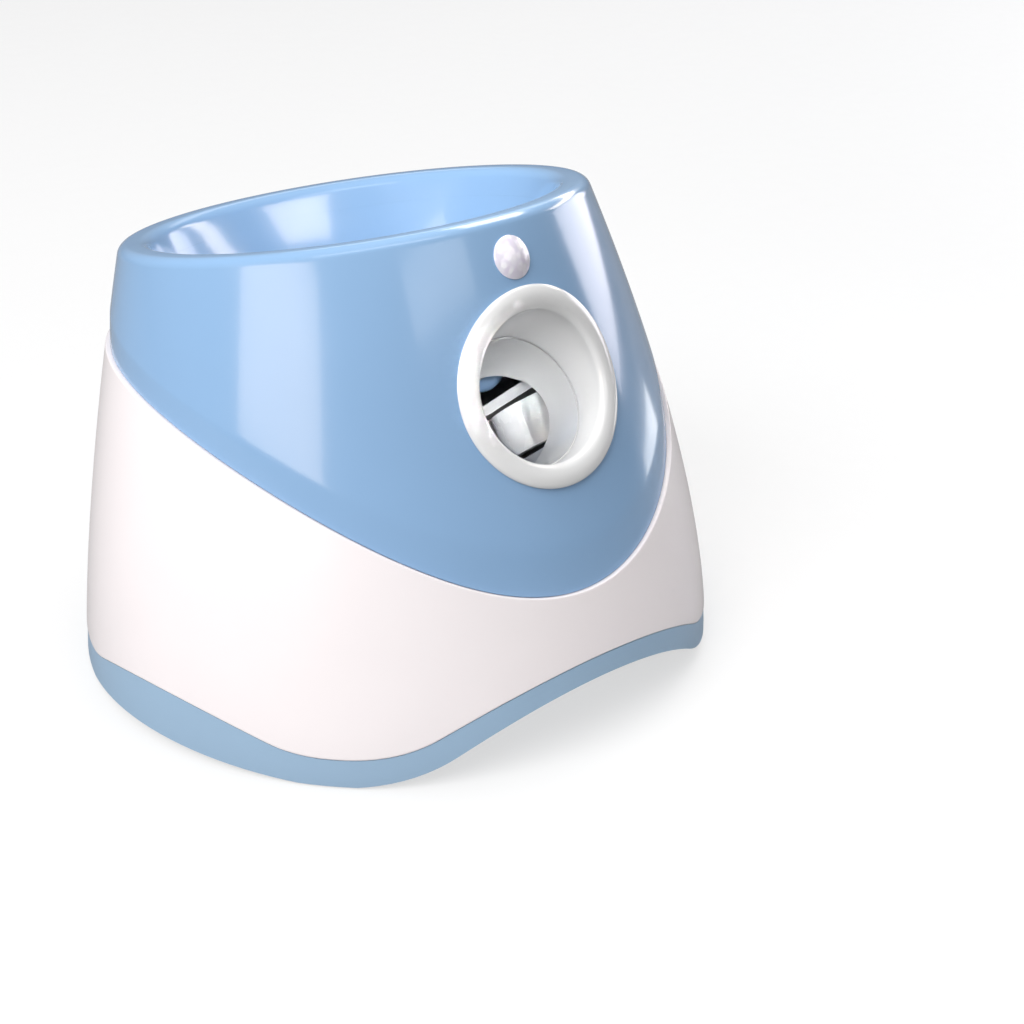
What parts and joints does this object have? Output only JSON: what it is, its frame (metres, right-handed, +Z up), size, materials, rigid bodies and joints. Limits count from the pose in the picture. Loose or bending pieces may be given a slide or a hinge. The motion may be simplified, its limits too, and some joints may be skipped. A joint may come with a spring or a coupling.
{
  "type": "automatic dog ball launcher",
  "caption": "Free-standing electric ball launcher: tapered oval casing with an open bowl on top and a round outlet in front of two spinning wheels.",
  "frame": {"origin": "on the ground under the middle of the base: middle of the bounding box, at its bottom", "axes": "+Z up, the outlet faces -Y, X runs across the launcher"},
  "size_m": [0.3408, 0.3116, 0.2461],
  "materials": {
    "blue_shell": "satin gloss",
    "white_shell": "satin gloss",
    "blue_base": "satin gloss",
    "white_trim": "satin gloss",
    "frame_plastic": "matt",
    "panel_plastic": "satin",
    "lens_plastic": "milky",
    "tread_foam": "matt",
    "drum_plastic": "matt",
    "feet_rubber": "matt",
    "motor_steel": "brushed",
    "shaft_steel": "ground",
    "screw_steel": "zinc",
    "bush_brass": "turned",
    "circuit_board": "solder mask",
    "part_black": "matt",
    "cell_metal": "coated can",
    "button_blue": "satin gloss",
    "lamp_clear": "clear"
  },
  "bodies": {
    "housing": {"ball_sensor": "part_black", "base_tray": "blue_base", "battery_box": "frame_plastic", "battery_cells": "cell_metal", "battery_contacts": "shaft_steel", "board_parts": "part_black", "board_screws": "screw_steel", "case_screws": "screw_steel", "control_panel": "panel_plastic", "dc_jack": "part_black", "drive_motor_left": "motor_steel", "drive_motor_right": "motor_steel", "feed_chute": "frame_plastic", "frame_screws": "screw_steel", "gear_motor": "motor_steel", "hopper_bowl": "blue_shell", "launch_barrel": "white_trim", "launch_frame": "frame_plastic", "main_board": "circuit_board", "mid_band": "white_shell", "motor_screws": "screw_steel", "outlet_bezel": "white_trim", "pusher_bushes": "bush_brass", "range_lamps": "lamp_clear", "rubber_feet": "feet_rubber", "sensor_board": "circuit_board", "sensor_can": "motor_steel", "sensor_lens": "lens_plastic", "shell_screws": "screw_steel", "speaker": "motor_steel", "switch_board": "circuit_board", "upper_shell": "blue_shell", "wheel_cover_left": "white_trim", "wheel_cover_right": "white_trim"},
    "flywheel_left_body": {"flywheel_left": "drum_plastic", "wheel_tread_left": "tread_foam", "motor_shaft_left": "shaft_steel"},
    "flywheel_right_body": {"flywheel_right": "drum_plastic", "wheel_tread_right": "tread_foam", "motor_shaft_right": "shaft_steel"},
    "pusher": {"pusher_arm": "drum_plastic", "pusher_shaft": "shaft_steel"},
    "pinion": {"drive_pinion": "drum_plastic", "pinion_shaft": "shaft_steel"},
    "power_key": {"power_button": "button_blue"},
    "range_key": {"range_button": "button_blue"},
    "door": {"battery_door": "blue_base"}
  },
  "joints": [
    {"name": "flywheel_left_spin", "type": "hinge", "parent": "housing", "child": "flywheel_left_body", "pos_m": [-0.064, -0.04961, 0.12489], "axis": [0, 0.6494, 0.7604], "continuous": true},
    {"name": "flywheel_right_spin", "type": "hinge", "parent": "housing", "child": "flywheel_right_body", "pos_m": [0.064, -0.04961, 0.12489], "axis": [0, 0.6494, 0.7604], "continuous": true},
    {"name": "pusher_swing", "type": "hinge", "parent": "housing", "child": "pusher", "pos_m": [0, 0.04525, 0.12278], "axis": [-1, 0, 0], "range_deg": [0, 38]},
    {"name": "pinion_turn", "type": "hinge", "parent": "housing", "child": "pinion", "pos_m": [0, 0.07034, 0.10135], "axis": [-1, 0, 0], "range_deg": [-106, 4]},
    {"name": "power_press", "type": "slide", "parent": "housing", "child": "power_key", "axis": [0, -1, 0], "range_m": [0, 0.0012], "stiffness_N_per_m": 900, "springref_m": -0.0004},
    {"name": "range_press", "type": "slide", "parent": "housing", "child": "range_key", "axis": [0, -1, 0], "range_m": [0, 0.0012], "stiffness_N_per_m": 900, "springref_m": -0.0004},
    {"name": "door_slide", "type": "slide", "parent": "housing", "child": "door", "axis": [0, 1, 0], "range_m": [0, 0.012]}
  ],
  "couplings": [
    {"joint": "pinion_turn", "follows": "pusher_swing", "ratio": -2.6667}
  ]
}
